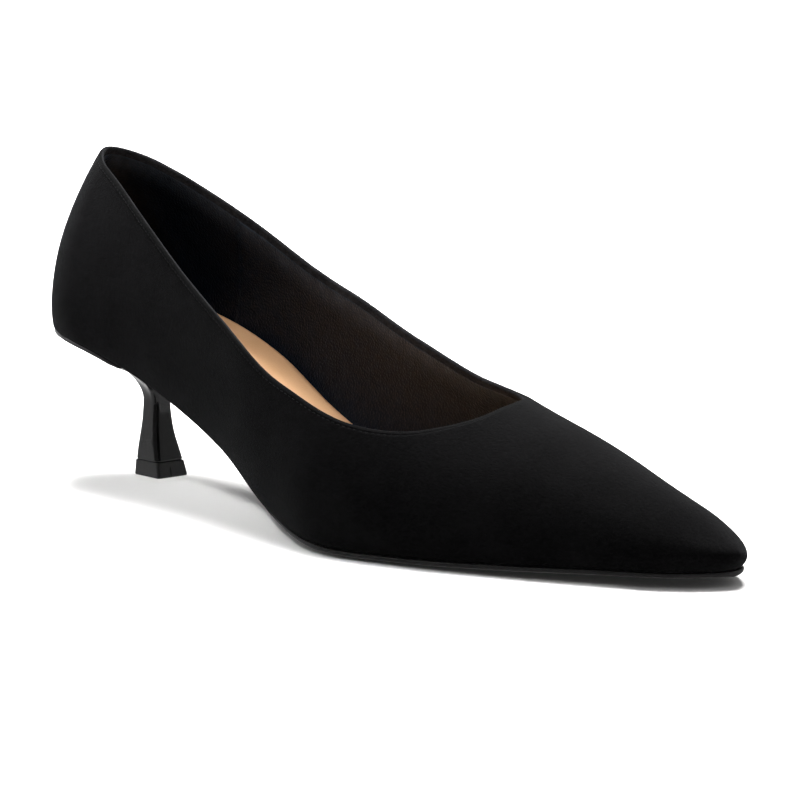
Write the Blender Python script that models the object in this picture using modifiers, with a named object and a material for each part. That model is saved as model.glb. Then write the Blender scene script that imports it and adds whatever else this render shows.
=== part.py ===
"""Kitten heel pump, right shoe: hollow upper, insole, outsole, heel and top piece.

The shoe is drawn in last coordinates, in millimetres: x runs from the back of
the heel to the toe, y to the medial side, z up from the floor. The parent empty
then puts the middle of the shoe's footprint on the world origin, in metres.

The last is a family of half sections. A station is a share s of the length.
At each station a cubic arc climbs from the feather edge (h = 0) to the ridge
over the instep (h = 1). The topline is a curve in (s, h), so the collar, the
throat and the closed vamp are all cut from this one surface.
"""

import bmesh
import bpy
import numpy as np

# ---------------------------------------------------------------- sizes, in mm
LENGTH = 252.0  # back of heel to toe tip
WALL = 2.0  # suede, lining and the stiffening between them
GAP = 0.3  # between pieces that meet
INSOLE_THICK = 3.4
INSOLE_INSET = 2.7
SEAT_EDGE = 1.2  # thin rim of the heel under the upper
SEAT_INSET = 0.4
BREAST_X = 49.0  # front of the heel seat, where the outsole starts
HEEL_CLOSE = 0.13  # share of the length over which the back rounds off
CLOSE_TIGHTER = 1.1  # how much shorter that share is at the top of the arc
TOE_CLOSE = 0.066  # share of the length over which the toe rounds off
TOE_TIP = 0.42  # share of its height that the toe keeps at the very tip
BOX_MIDDLE = (126.01, -1.39)  # middle of the footprint in last coordinates

# Stations of the last. feather: height of the upper's lower edge. lat, med: half
# widths there. mid: sideways swing of the centre line. out_lat, out_med, up:
# how far the arc's first handle stands out and up. crown: half width of the
# second handle, below zero where the collar draws in and the arc is cut short
# under the middle. ridge: height of the arc's end.
STATION_COLUMNS = ("s", "feather", "lat", "med", "mid", "out_lat", "out_med", "up", "crown", "ridge")
STATIONS = (
    (0.00, 44.2, 27.7, 27.3, 0.0, 0.2, 3.5, 23.5, -26.5, 139.7),
    (0.12, 41.8, 27.9, 27.8, -0.3, 3.3, 3.8, 22.9, -16.7, 135.0),
    (0.25, 32.8, 26.5, 25.6, -0.4, 8.2, 7.9, 25.9, -1.4, 124.2),
    (0.38, 19.8, 25.4, 22.8, -2.6, 11.6, 11.6, 26.8, 13.3, 102.9),
    (0.50, 7.1, 31.0, 27.1, -4.6, 8.3, 9.2, 25.7, 19.4, 75.8),
    (0.60, 2.8, 37.3, 34.3, -3.5, 4.4, 4.5, 21.5, 20.3, 55.3),
    (0.70, 2.5, 36.8, 35.7, 2.0, 3.2, 3.2, 16.5, 19.5, 42.0),
    (0.80, 3.2, 30.2, 29.3, 6.4, 2.6, 2.9, 11.2, 16.2, 33.3),
    (0.90, 4.1, 19.8, 19.8, 9.6, 2.3, 3.4, 6.7, 11.6, 23.9),
    (1.00, 4.4, 10.8, 11.1, 15.4, 3.9, 4.9, 3.2, 6.4, 13.6),
)

# The topline on each side, from the back seam to the throat, in s and h.
TOPLINE_COLUMNS = ("s_lat", "h_lat", "s_med", "h_med")
TOPLINE = (
    (0.000, 0.458, 0.000, 0.458),
    (0.100, 0.425, 0.100, 0.425),
    (0.320, 0.357, 0.320, 0.365),
    (0.518, 0.417, 0.474, 0.455),
    (0.678, 0.586, 0.617, 0.613),
    (0.712, 0.749, 0.693, 0.793),
    (0.718, 1.000, 0.718, 1.000),
)

# Lean of the back profile: it goes in by tuck at the seat, is upright at
# upright mm above it, and leans forward by lean at lean_at mm above it.
BACK = {"tuck": 1.0, "upright": 16.2, "lean": 17.1, "lean_at": 59.2}
# Toe profile in side view: pulled back by low at the feather edge and by high
# at the ridge, furthest forward at the share at of the ridge's height.
TOE = {"low": 2.1, "high": 3.4, "at": 0.46}

# Outsole edge: how far it stands out of the feather line, its edge thickness,
# and how much thicker it is along the middle.
SOLE_COLUMNS = ("s", "stands_out", "edge", "crown")
SOLE = (
    (0.15, -3.0, 0.6, 0.9),
    (0.38, -3.0, 0.6, 0.9),
    (0.50, -0.5, 1.0, 1.1),
    (0.60, 0.8, 1.2, 1.3),
    (0.75, 0.8, 1.2, 1.3),
    (0.90, 0.7, 1.2, 0.8),
    (1.00, 0.6, 1.2, 0.3),
)

# Heel stem, from the top piece to the neck: height, side of its rounded square
# section, and where its middle stands.
STEM_COLUMNS = ("z", "side", "mid_x", "mid_y")
STEM = (
    (4.8, 10.5, 36.2, -0.15),
    (8.3, 9.45, 35.9, -0.35),
    (11.5, 8.4, 35.6, -0.45),
    (16.5, 7.15, 35.4, -0.5),
    (22.0, 6.5, 35.1, -0.4),
)
# Walking tip under the stem, in the same columns: a small chamfer, then its sides.
TOP_PIECE = (
    (0.0, 10.6, 36.7, 0.0),
    (0.4, 11.3, 36.7, 0.0),
    (4.5, 10.2, 36.2, -0.1),
)
STEM_CORNER = 1.5  # radius of the stem's upright edges
TIP_CORNER = 0.8  # radius of the walking tip's
# Sweep from the neck to the seat's edge, as shares of the way out; the height
# climbs as a power of that share, so the sweep is concave.
SWEEP = (0.015, 0.05, 0.11, 0.2, 0.35, 0.6, 1.0)
SWEEP_POWER = 0.5
STEM_FLAT, STEM_ROUND = 6, 4  # facets on each side and each corner of the stem

UPPER_ALONG = (34, 14)  # columns along the topline, and along the ridge
UPPER_UP = 9
SOLE_ALONG = 44
SOLE_ACROSS = 8


# ------------------------------------------------------------------- functions
def curve(xs, ys, x):
    """Cubic Hermite curve through a table's rows."""
    xs, ys, x = (np.asarray(a, float) for a in (xs, ys, x))
    step = np.diff(xs)
    rise = np.diff(ys) / step
    slope = np.empty(len(xs))
    slope[1:-1] = (rise[:-1] * step[1:] + rise[1:] * step[:-1]) / (step[:-1] + step[1:])
    slope[0] = 1.5 * rise[0] - 0.5 * slope[1]
    slope[-1] = 1.5 * rise[-1] - 0.5 * slope[-2]
    i = np.clip(np.searchsorted(xs, x) - 1, 0, len(xs) - 2)
    t = (x - xs[i]) / step[i]
    return (
        (2 * t**3 - 3 * t**2 + 1) * ys[i]
        + (t**3 - 2 * t**2 + t) * step[i] * slope[i]
        + (3 * t**2 - 2 * t**3) * ys[i + 1]
        + (t**3 - t**2) * step[i] * slope[i + 1]
    )


def column(table, columns, name):
    return np.array([row[columns.index(name)] for row in table])


def station(name, s):
    return curve(column(STATIONS, STATION_COLUMNS, "s"), column(STATIONS, STATION_COLUMNS, name), s)


def sole(name, s):
    s = np.clip(s, SOLE[0][0], 1.0)
    return np.interp(s, column(SOLE, SOLE_COLUMNS, "s"), column(SOLE, SOLE_COLUMNS, name))


def last_surface(s, h, side):
    """Points of the upper's outer surface. side is -1 lateral, +1 medial."""
    s, h = np.broadcast_arrays(np.asarray(s, float), np.asarray(h, float))
    k = 1 - h
    # share of the full width left where the back and the toe round off
    back = np.sqrt(np.clip(1 - np.clip(1 - s / (HEEL_CLOSE * (1 - CLOSE_TIGHTER * h)), 0, 1) ** 2, 0, 1))
    toe = np.sqrt(np.clip(1 - np.clip((s - 1 + TOE_CLOSE) / TOE_CLOSE, 0, 1) ** 2, 0, 1))
    width = station("lat" if side < 0 else "med", s)
    handle = width + station("out_lat" if side < 0 else "out_med", s)
    low, high = station("feather", s), station("ridge", s)
    half = (width * k**3 + 3 * handle * k * k * h + 3 * station("crown", s) * k * h * h) * back * toe
    z = low * k**3 + 3 * (low + station("up", s)) * k * k * h + (3 * k * h * h + h**3) * high
    z = low + (z - low) * (TOE_TIP + (1 - TOE_TIP) * toe)
    above = z - STATIONS[0][1]
    upright = BACK["upright"]
    lean = np.where(
        above < upright,
        BACK["tuck"] * (1 - above / upright) ** 2,
        BACK["lean"] * ((above - upright) / (BACK["lean_at"] - upright)) ** 2,
    )
    lean = lean * np.where(s < 0.45, (1 - s / 0.45) ** 2, 0)
    level = (z - low) / (high - low)
    above = np.clip((level - TOE["at"]) / (1 - TOE["at"]), 0, 1)
    pull = np.where(level < TOE["at"], TOE["low"] * (1 - level / TOE["at"]) ** 2, TOE["high"] * above**2 * (3 - 2 * above))
    pull = pull * np.where(s > 0.75, ((s - 0.75) / 0.25) ** 3, 0)
    return np.stack([s * LENGTH + lean - pull, station("mid", s) + side * half, z], -1)


def topline(side, count):
    """(s, h) along the topline of one side, back seam to throat."""
    s = column(TOPLINE, TOPLINE_COLUMNS, "s_lat" if side < 0 else "s_med")
    h = column(TOPLINE, TOPLINE_COLUMNS, "h_lat" if side < 0 else "h_med")
    t = np.concatenate([[0], np.cumsum(np.hypot(np.diff(s) * 2.5, np.diff(h)))])
    at = np.linspace(0, t[-1], count)
    return curve(t, s, at), np.clip(curve(t, h, at), 0, 1)


def even(points, count, own=0.0):
    """Places, as indices into points: evenly spaced, or with share own as the points are."""
    far = np.concatenate([[0], np.cumsum(np.linalg.norm(np.diff(points, axis=0), axis=1))])
    places = np.interp(np.linspace(0, far[-1], count), far, np.arange(len(points)))
    return (1 - own) * places + own * np.linspace(0, len(points) - 1, count)


def at_index(values, index):
    return np.interp(index, np.arange(len(values)), values)


def upper_side(side):
    """Grid of points on one side, from the feather edge to the topline and ridge."""
    open_count, closed_count = UPPER_ALONG
    s, h = topline(side, 400)
    places = even(last_surface(s, h, side), open_count + 1)
    top_s, top_h = at_index(s, places), at_index(h, places)
    top_h[-1] = 1.0
    top_s[-1] = TOPLINE[-1][0]
    ridge_s = top_s[-1] + (1 - top_s[-1]) * np.sin(np.linspace(0, 1, 300) * np.pi / 2)
    places = even(last_surface(ridge_s, np.ones(300), side), closed_count + 1, 0.5)
    top_s = np.concatenate([top_s, at_index(ridge_s, places)[1:]])
    top_h = np.concatenate([top_h, np.ones(closed_count)])
    edge_s = 0.5 * (1 - np.cos(np.pi * np.linspace(0, 1, 600)))
    low_s = at_index(edge_s, even(last_surface(edge_s, 0, side), len(top_s), 0.45))
    up = np.linspace(0, 1, UPPER_UP + 1)[None, :]
    s = low_s[:, None] * (1 - up) + top_s[:, None] * up
    return last_surface(s, top_h[:, None] * up, side)


def share_at(s, rise):
    """The share h at which the arc stands rise above the feather edge."""
    low, high = np.zeros_like(s), np.ones_like(s)
    for _ in range(30):
        h = (low + high) / 2
        below = last_surface(s, h, 1)[..., 2] - station("feather", s) < rise
        low, high = np.where(below, h, low), np.where(below, high, h)
    return h


def insole_thick(s):
    """Skived thin at the toe."""
    return INSOLE_THICK - 2.1 * np.clip((s - 0.87) / 0.13, 0, 1) ** 1.4


def insole_out(s):
    """The insole's edge stays inside the wall, and stops shorter at the toe."""
    return -INSOLE_INSET - 2.0 * np.clip((s - 0.92) / 0.08, 0, 1)


def outline(side, out, s, rise=0.0):
    """The line rise above the feather edge, moved outwards by out, at stations s."""
    fine = 0.5 * (1 - np.cos(np.pi * np.linspace(0, 1, 1500)))
    rise = rise(fine) if callable(rise) else rise + 0 * fine
    line = last_surface(fine, share_at(fine, rise), side)
    run = np.gradient(line[:, :2], axis=0)
    run /= np.linalg.norm(run, axis=1)[:, None]
    away = np.stack([run[:, 1], -run[:, 0]], -1) * -side
    reach = out(fine) if callable(out) else np.full(fine.shape, out)
    line[:, :2] += away * reach[:, None]
    return np.stack([np.interp(s, fine, line[:, i]) for i in range(3)], -1)


def new_object(name, mesh, material):
    obj = bpy.data.objects.new(name, mesh)
    obj.data.materials.append(material)
    parts.objects.link(obj)
    obj.parent = whole
    mesh.shade_smooth()
    mesh.set_sharp_from_angle(angle=np.radians(40))
    return obj


def material(name, colour, roughness, coat=0.0):
    made = bpy.data.materials.new(name)
    made.use_nodes = True
    made.diffuse_color = (*colour, 1)
    shader = made.node_tree.nodes["Principled BSDF"]
    shader.inputs["Base Color"].default_value = (*colour, 1)
    shader.inputs["Roughness"].default_value = roughness
    shader.inputs["Metallic"].default_value = 0.0
    shader.inputs["Coat Weight"].default_value = coat
    return made


def mesh_from(name, grids, faces_of):
    """A mesh from point grids in mm; coincident points become one."""
    shape = bmesh.new()
    for grid in grids:
        made = [[shape.verts.new(point * 0.001) for point in row] for row in grid]
        for corners in faces_of(made):
            shape.faces.new(corners)
    bmesh.ops.remove_doubles(shape, verts=shape.verts, dist=2e-6)
    bmesh.ops.dissolve_degenerate(shape, edges=shape.edges, dist=2e-6)
    bmesh.ops.recalc_face_normals(shape, faces=shape.faces)
    if faces_of is loft_faces and shape.calc_volume(signed=True) < 0:
        bmesh.ops.reverse_faces(shape, faces=shape.faces)
    mesh = bpy.data.meshes.new(name)
    shape.to_mesh(mesh)
    shape.free()
    return mesh


def sheet_faces(rows):
    for a, b in zip(rows, rows[1:]):
        for i in range(len(a) - 1):
            yield a[i], a[i + 1], b[i + 1], b[i]


def loft_faces(rings):
    """Side faces between closed rings, and a face on the first and last."""
    for a, b in zip(rings, rings[1:]):
        for i in range(len(a)):
            j = (i + 1) % len(a)
            yield a[i], a[j], b[j], b[i]
    yield rings[0]
    yield rings[-1]


# --------------------------------------------------------------------- pieces
def make_upper():
    """Both sides as one open surface, given its wall by Solidify."""
    mesh = mesh_from("upper", [upper_side(-1), upper_side(1)], sheet_faces)
    points = np.array([v.co for v in mesh.vertices])
    faces_out = sum(
        float(np.dot(f.normal, np.array(f.center) - (f.center[0], points[:, 1].mean(), 0.03))) for f in mesh.polygons
    )
    if faces_out < 0:
        mesh.flip_normals()
    obj = new_object("upper", mesh, material("suede_black", (0.012, 0.012, 0.013), 0.9))
    wall = obj.modifiers.new("wall", "SOLIDIFY")
    wall.thickness = WALL * 0.001
    wall.offset = -1.0
    wall.use_even_offset = True
    wall.use_rim = True
    return obj


def slab(s, half_out, top, bottom, across):
    """Closed rings across a flat piece, lateral to medial above and back below."""
    left, right = outline(-1, half_out, s), outline(1, half_out, s)
    t = np.sin(np.linspace(-1, 1, across + 1) * np.pi / 2)
    rings = []
    for i in range(len(s)):
        plan = left[i, :2] + (right[i, :2] - left[i, :2]) * ((t + 1) / 2)[:, None]
        above = np.column_stack([plan, top(s[i], t)])
        below = np.column_stack([plan, bottom(s[i], t)])
        rings.append(np.concatenate([above, below[::-1]]))
    return rings


def make_outsole():
    """From the heel breast to the toe, crowned below, flat where it stands."""
    s = BREAST_X / LENGTH + (0.5 + GAP) / LENGTH
    s = s + (1 - s) * np.sin(np.linspace(0, 1, SOLE_ALONG + 1) * np.pi / 2) ** 1.15

    def top(at, t):
        return station("feather", at) - GAP + 0 * t

    def bottom(at, t):
        shape = sole("edge", at) + sole("crown", at) * (1 - np.abs(t) ** 3)
        return np.maximum(top(at, t) - shape, 0.0)

    rings = slab(s, lambda f: sole("stands_out", f), top, bottom, SOLE_ACROSS)
    mesh = mesh_from("outsole", [rings], loft_faces)
    return new_object("outsole", mesh, material("sole_black", (0.01, 0.01, 0.01), 0.35))


def make_insole():
    """Board and sock in one, inside the wall, widening with it towards the top."""
    s = 0.5 * (1 - np.cos(np.pi * np.linspace(0, 1, SOLE_ALONG + 1)))

    low_left, low_right = outline(-1, insole_out, s), outline(1, insole_out, s)
    high_left = outline(-1, insole_out, s, insole_thick)
    high_right = outline(1, insole_out, s, insole_thick)
    t = (np.linspace(-1, 1, 5) + 1) / 2
    rings = []
    for i in range(len(s)):
        z = station("feather", s[i])
        above = high_left[i, :2] + (high_right[i, :2] - high_left[i, :2]) * t[:, None]
        below = low_left[i, :2] + (low_right[i, :2] - low_left[i, :2]) * t[:, None]
        above = np.column_stack([above, np.full(5, z + GAP / 2 + insole_thick(s[i]))])
        below = np.column_stack([below, np.full(5, z + GAP / 2)])
        rings.append(np.concatenate([above, below[::-1]]))
    mesh = mesh_from("insole", [rings], loft_faces)
    return new_object("insole", mesh, material("lining_tan", (0.66, 0.38, 0.19), 0.6))


def square_ring(side, mid_x, mid_y, corner):
    """Plan of the stem: a square with rounded corners, all the way round."""
    flat = side / 2 - corner
    ring = []
    for turn in np.arange(4) * np.pi / 2:
        along = np.linspace(-flat, flat, STEM_FLAT + 1)[:-1]
        points = [(side / 2, y) for y in along]
        for bend in np.linspace(0, np.pi / 2, STEM_ROUND + 1)[:-1]:
            points.append((flat + corner * np.cos(bend), flat + corner * np.sin(bend)))
        for x, y in points:
            ring.append((mid_x + x * np.cos(turn) - y * np.sin(turn), mid_y + x * np.sin(turn) + y * np.cos(turn)))
    return np.array(ring)


def seat_ring(neck, mid_x, mid_y):
    """Plan of the heel seat, read along rays from the neck's middle through its ring."""
    s = np.linspace(0, 1.1 * BREAST_X / LENGTH, 400)
    left, right = outline(-1, -SEAT_INSET, s)[:, :2], outline(1, -SEAT_INSET, s)[:, :2]
    left, right = left[left[:, 0] <= BREAST_X], right[right[:, 0] <= BREAST_X]
    breast = np.column_stack([np.full(80, BREAST_X), np.linspace(right[-1, 1], left[-1, 1], 80)])
    way = np.concatenate([left[::-1], right[1:], breast]) - (mid_x, mid_y)
    turn, reach = np.arctan2(way[:, 1], way[:, 0]), np.hypot(*way.T)
    order = np.argsort(turn)
    angles = np.arctan2(neck[:, 1] - mid_y, neck[:, 0] - mid_x)
    far = np.interp(angles, turn[order], reach[order], period=2 * np.pi)
    return np.column_stack([mid_x + far * np.cos(angles), mid_y + far * np.sin(angles)])


def make_heel():
    """Flared stem, swept at the neck into a thin cup under the seat."""
    rings = []
    for z, side, mid_x, mid_y in STEM:
        plan = square_ring(side, mid_x, mid_y, STEM_CORNER)
        rings.append(np.column_stack([plan, np.full(len(plan), z)]))
    neck, (neck_z, _, mid_x, mid_y) = rings[-1][:, :2], STEM[-1]
    seat = seat_ring(neck, mid_x, mid_y)

    def seat_top(plan):
        return station("feather", np.clip(plan[:, 0] / LENGTH, 0, 1)) - GAP

    under = seat_top(seat) - SEAT_EDGE
    for t in SWEEP:
        plan = neck + (seat - neck) * t
        z = neck_z + (under - neck_z) * t**SWEEP_POWER
        rings.append(np.column_stack([plan, z]))
    for t in (1.0, 0.8, 0.6, 0.4, 0.2):
        plan = (mid_x, mid_y) + (seat - (mid_x, mid_y)) * t
        rings.append(np.column_stack([plan, seat_top(plan)]))
    mesh = mesh_from("heel", [rings], loft_faces)
    return new_object("heel", mesh, material("heel_lacquer", (0.006, 0.006, 0.007), 0.15, 1.0))


def make_top_piece():
    """Walking tip under the heel, with a small chamfer around its flat face."""
    rings = []
    for z, side, mid_x, mid_y in TOP_PIECE:
        plan = square_ring(side, mid_x, mid_y, TIP_CORNER)
        rings.append(np.column_stack([plan, np.full(len(plan), z)]))
    mesh = mesh_from("top_piece", [rings], loft_faces)
    return new_object("top_piece", mesh, material("top_piece_black", (0.012, 0.012, 0.012), 0.4))


for old in list(bpy.data.objects):
    bpy.data.objects.remove(old, do_unlink=True)

parts = bpy.data.collections.new("kitten_heel_pump")
bpy.context.scene.collection.children.link(parts)
whole = bpy.data.objects.new("pump", None)
whole.location = (-BOX_MIDDLE[0] * 0.001, -BOX_MIDDLE[1] * 0.001, 0)
parts.objects.link(whole)

make_upper()
make_insole()
make_outsole()
make_heel()
make_top_piece()
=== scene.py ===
"""Looks of the kitten heel pump, a right shoe, around its fixed construction.

The shoe is drawn in last coordinates, in millimetres, as its construction is:
x runs from the back of the heel to the toe, y to the medial side, z up. The
function world() turns them into the frame's metres.
"""

import math

import bmesh
import bpy
import numpy as np
from mathutils import Matrix, Vector
from mathutils.kdtree import KDTree

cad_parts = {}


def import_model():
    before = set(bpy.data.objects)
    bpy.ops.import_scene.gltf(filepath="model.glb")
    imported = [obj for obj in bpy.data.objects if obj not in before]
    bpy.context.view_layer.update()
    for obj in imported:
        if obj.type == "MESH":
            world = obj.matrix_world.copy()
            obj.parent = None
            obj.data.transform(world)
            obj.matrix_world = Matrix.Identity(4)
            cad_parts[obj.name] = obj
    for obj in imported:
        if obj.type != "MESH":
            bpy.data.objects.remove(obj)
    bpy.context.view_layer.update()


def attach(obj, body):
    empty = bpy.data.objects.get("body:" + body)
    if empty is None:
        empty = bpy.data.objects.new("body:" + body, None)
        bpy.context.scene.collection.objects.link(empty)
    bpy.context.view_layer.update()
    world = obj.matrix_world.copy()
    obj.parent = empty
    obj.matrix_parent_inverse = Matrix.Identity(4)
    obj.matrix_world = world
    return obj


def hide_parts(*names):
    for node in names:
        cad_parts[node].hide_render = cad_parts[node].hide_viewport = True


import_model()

# ------------------------------------------------------------- the last, in mm
LENGTH = 252.0
WALL = 2.0
GAP = 0.3
INSOLE_THICK = 3.4
BREAST_X = 49.0
HEEL_CLOSE = 0.13
CLOSE_TIGHTER = 1.1
TOE_CLOSE = 0.066
TOE_TIP = 0.42  # share of its height that the toe keeps at the very tip
MIDDLE = np.array([126.01, -1.39, 0.0])

STATION_COLUMNS = ("s", "feather", "lat", "med", "mid", "out_lat", "out_med", "up", "crown", "ridge")
STATIONS = (
    (0.00, 44.2, 27.7, 27.3, 0.0, 0.2, 3.5, 23.5, -26.5, 139.7),
    (0.12, 41.8, 27.9, 27.8, -0.3, 3.3, 3.8, 22.9, -16.7, 135.0),
    (0.25, 32.8, 26.5, 25.6, -0.4, 8.2, 7.9, 25.9, -1.4, 124.2),
    (0.38, 19.8, 25.4, 22.8, -2.6, 11.6, 11.6, 26.8, 13.3, 102.9),
    (0.50, 7.1, 31.0, 27.1, -4.6, 8.3, 9.2, 25.7, 19.4, 75.8),
    (0.60, 2.8, 37.3, 34.3, -3.5, 4.4, 4.5, 21.5, 20.3, 55.3),
    (0.70, 2.5, 36.8, 35.7, 2.0, 3.2, 3.2, 16.5, 19.5, 42.0),
    (0.80, 3.2, 30.2, 29.3, 6.4, 2.6, 2.9, 11.2, 16.2, 33.3),
    (0.90, 4.1, 19.8, 19.8, 9.6, 2.3, 3.4, 6.7, 11.6, 23.9),
    (1.00, 4.4, 10.8, 11.1, 15.4, 3.9, 4.9, 3.2, 6.4, 13.6),
)
TOPLINE_COLUMNS = ("s_lat", "h_lat", "s_med", "h_med")
TOPLINE = (
    (0.000, 0.458, 0.000, 0.458),
    (0.100, 0.425, 0.100, 0.425),
    (0.320, 0.357, 0.320, 0.365),
    (0.518, 0.417, 0.474, 0.455),
    (0.678, 0.586, 0.617, 0.613),
    (0.712, 0.749, 0.693, 0.793),
    (0.718, 1.000, 0.718, 1.000),
)
BACK = {"tuck": 1.0, "upright": 16.2, "lean": 17.1, "lean_at": 59.2}
TOE = {"low": 2.1, "high": 3.4, "at": 0.46}
SOLE_COLUMNS = ("s", "stands_out", "edge", "crown")
SOLE = (
    (0.15, -3.0, 0.6, 0.9),
    (0.38, -3.0, 0.6, 0.9),
    (0.50, -0.5, 1.0, 1.1),
    (0.60, 0.8, 1.2, 1.3),
    (0.75, 0.8, 1.2, 1.3),
    (0.90, 0.7, 1.2, 0.8),
    (1.00, 0.6, 1.2, 0.3),
)
STEM_COLUMNS = ("z", "side", "mid_x", "mid_y")
STEM = (
    (4.8, 10.5, 36.2, -0.15),
    (8.3, 9.45, 35.9, -0.35),
    (11.5, 8.4, 35.6, -0.45),
    (16.5, 7.15, 35.4, -0.5),
    (22.0, 6.5, 35.1, -0.4),
)
TOP_PIECE = (
    (0.0, 11.1, 36.7, 0.0),
    (0.35, 11.4, 36.7, 0.0),
    (4.45, 10.5, 36.2, -0.1),
    (4.6, 9.8, 36.2, -0.15),
    (5.0, 9.4, 36.2, -0.15),
)
TIP_MARK = {"y": -0.8, "wide": 0.4, "low": 0.5, "high": 2.9}
STEM_CORNER = 1.5
SEAT_EDGE = 1.2

# Finish of the upper, in mm: radius of the folded topline edge, how far the suede
# is turned in below it, the stitch line's distance from the edge, and the stitches.
FOLD_RADIUS = 0.8
TURNED_IN = 1.9
STITCH_LINE = 1.5
STITCH = {"long": 1.35, "pitch": 1.75, "radius": 0.12}
# Rows of the outer surface below the edge, and of the inner one.
OUTER_BAND = (0.8, 0.95, 1.1, 1.3, 1.5, 1.65, 1.85, 2.1, 2.8, 4.0, 6.0)
INNER_BAND = (0.8, 1.3, 1.75, 1.9, 2.05, 2.3, 2.9, 4.2, 6.0)


def world(points):
    return (np.asarray(points, float) - MIDDLE) * 0.001


def curve(xs, ys, x):
    """Cubic Hermite curve through a table's rows."""
    xs, ys, x = (np.asarray(a, float) for a in (xs, ys, x))
    step = np.diff(xs)
    rise = np.diff(ys) / step
    slope = np.empty(len(xs))
    slope[1:-1] = (rise[:-1] * step[1:] + rise[1:] * step[:-1]) / (step[:-1] + step[1:])
    slope[0] = 1.5 * rise[0] - 0.5 * slope[1]
    slope[-1] = 1.5 * rise[-1] - 0.5 * slope[-2]
    i = np.clip(np.searchsorted(xs, x) - 1, 0, len(xs) - 2)
    t = (x - xs[i]) / step[i]
    return (
        (2 * t**3 - 3 * t**2 + 1) * ys[i]
        + (t**3 - 2 * t**2 + t) * step[i] * slope[i]
        + (3 * t**2 - 2 * t**3) * ys[i + 1]
        + (t**3 - t**2) * step[i] * slope[i + 1]
    )


def column(table, columns, name):
    return np.array([row[columns.index(name)] for row in table])


def station(name, s):
    return curve(column(STATIONS, STATION_COLUMNS, "s"), column(STATIONS, STATION_COLUMNS, name), s)


def sole(name, s):
    return np.interp(np.clip(s, SOLE[0][0], 1.0), column(SOLE, SOLE_COLUMNS, "s"), column(SOLE, SOLE_COLUMNS, name))


def share(tau):
    """Share of the length at the smooth parameter tau, even at the back and the toe."""
    return 0.5 * (1 - np.cos(np.pi * np.asarray(tau, float)))


def tau_of(s):
    return np.arccos(np.clip(1 - 2 * np.asarray(s, float), -1, 1)) / np.pi


def last_surface(s, h, side):
    """Points of the upper's outer surface. side is -1 lateral, +1 medial."""
    s, h = np.broadcast_arrays(np.asarray(s, float), np.asarray(h, float))
    k = 1 - h
    back = np.sqrt(np.clip(1 - np.clip(1 - s / (HEEL_CLOSE * (1 - CLOSE_TIGHTER * h)), 0, 1) ** 2, 0, 1))
    back = np.where(CLOSE_TIGHTER * h < 0.999, back, 1.0)
    toe = np.sqrt(np.clip(1 - np.clip((s - 1 + TOE_CLOSE) / TOE_CLOSE, 0, 1) ** 2, 0, 1))
    lower = TOE_TIP + (1 - TOE_TIP) * toe
    width = station("lat" if side < 0 else "med", s)
    handle = width + station("out_lat" if side < 0 else "out_med", s)
    low, high = station("feather", s), station("ridge", s)
    half = (width * k**3 + 3 * handle * k * k * h + 3 * station("crown", s) * k * h * h) * back * toe
    z = low * k**3 + 3 * (low + station("up", s)) * k * k * h + (3 * k * h * h + h**3) * high
    z = low + (z - low) * lower
    above = z - STATIONS[0][1]
    upright = BACK["upright"]
    lean = np.where(
        above < upright,
        BACK["tuck"] * (1 - above / upright) ** 2,
        BACK["lean"] * ((above - upright) / (BACK["lean_at"] - upright)) ** 2,
    )
    lean = lean * np.where(s < 0.45, (1 - s / 0.45) ** 2, 0)
    level = (z - low) / (high - low)
    above = np.clip((level - TOE["at"]) / (1 - TOE["at"]), 0, 1)
    pull = np.where(level < TOE["at"], TOE["low"] * (1 - level / TOE["at"]) ** 2, TOE["high"] * above**2 * (3 - 2 * above))
    pull = pull * np.where(s > 0.75, ((s - 0.75) / 0.25) ** 3, 0)
    return np.stack([s * LENGTH + lean - pull, station("mid", s) + side * half, z], -1)


def unit(v):
    return v / np.maximum(np.linalg.norm(v, axis=-1, keepdims=True), 1e-12)


def surface(tau, h, side):
    """Point, the two directions along the surface, and the normal pointing out."""
    step = 2e-4
    tau, h = np.broadcast_arrays(np.asarray(tau, float), np.asarray(h, float))
    p = last_surface(share(tau), h, side)
    a, b = np.clip(tau - step, 0, 1), np.clip(tau + step, 0, 1)
    along = (last_surface(share(b), h, side) - last_surface(share(a), h, side)) / (b - a)[..., None]
    a, b = np.clip(h - step, 0, 1), np.clip(h + step, 0, 1)
    up = (last_surface(share(tau), b, side) - last_surface(share(tau), a, side)) / (b - a)[..., None]
    return p, along, up, unit(np.cross(along, up)) * -side


def even(points, count, own=0.0):
    far = np.concatenate([[0], np.cumsum(np.linalg.norm(np.diff(points, axis=0), axis=1))])
    places = np.interp(np.linspace(0, far[-1], count), far, np.arange(len(points)))
    return (1 - own) * places + own * np.linspace(0, len(points) - 1, count)


def at_index(values, index):
    return np.interp(index, np.arange(len(values)), values)


def insole_thick(s):
    """Skived thin at the toe."""
    return INSOLE_THICK - 2.1 * np.clip((s - 0.87) / 0.13, 0, 1) ** 1.4


def insole_out(inset):
    """The insole's edge stays inside the wall, and stops shorter at the toe."""
    return lambda s: -inset - 2.0 * np.clip((s - 0.92) / 0.08, 0, 1)


def share_at(s, rise):
    low, high = np.zeros_like(s), np.ones_like(s)
    for _ in range(30):
        h = (low + high) / 2
        below = last_surface(s, h, 1)[..., 2] - station("feather", s) < rise
        low, high = np.where(below, h, low), np.where(below, high, h)
    return h


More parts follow.
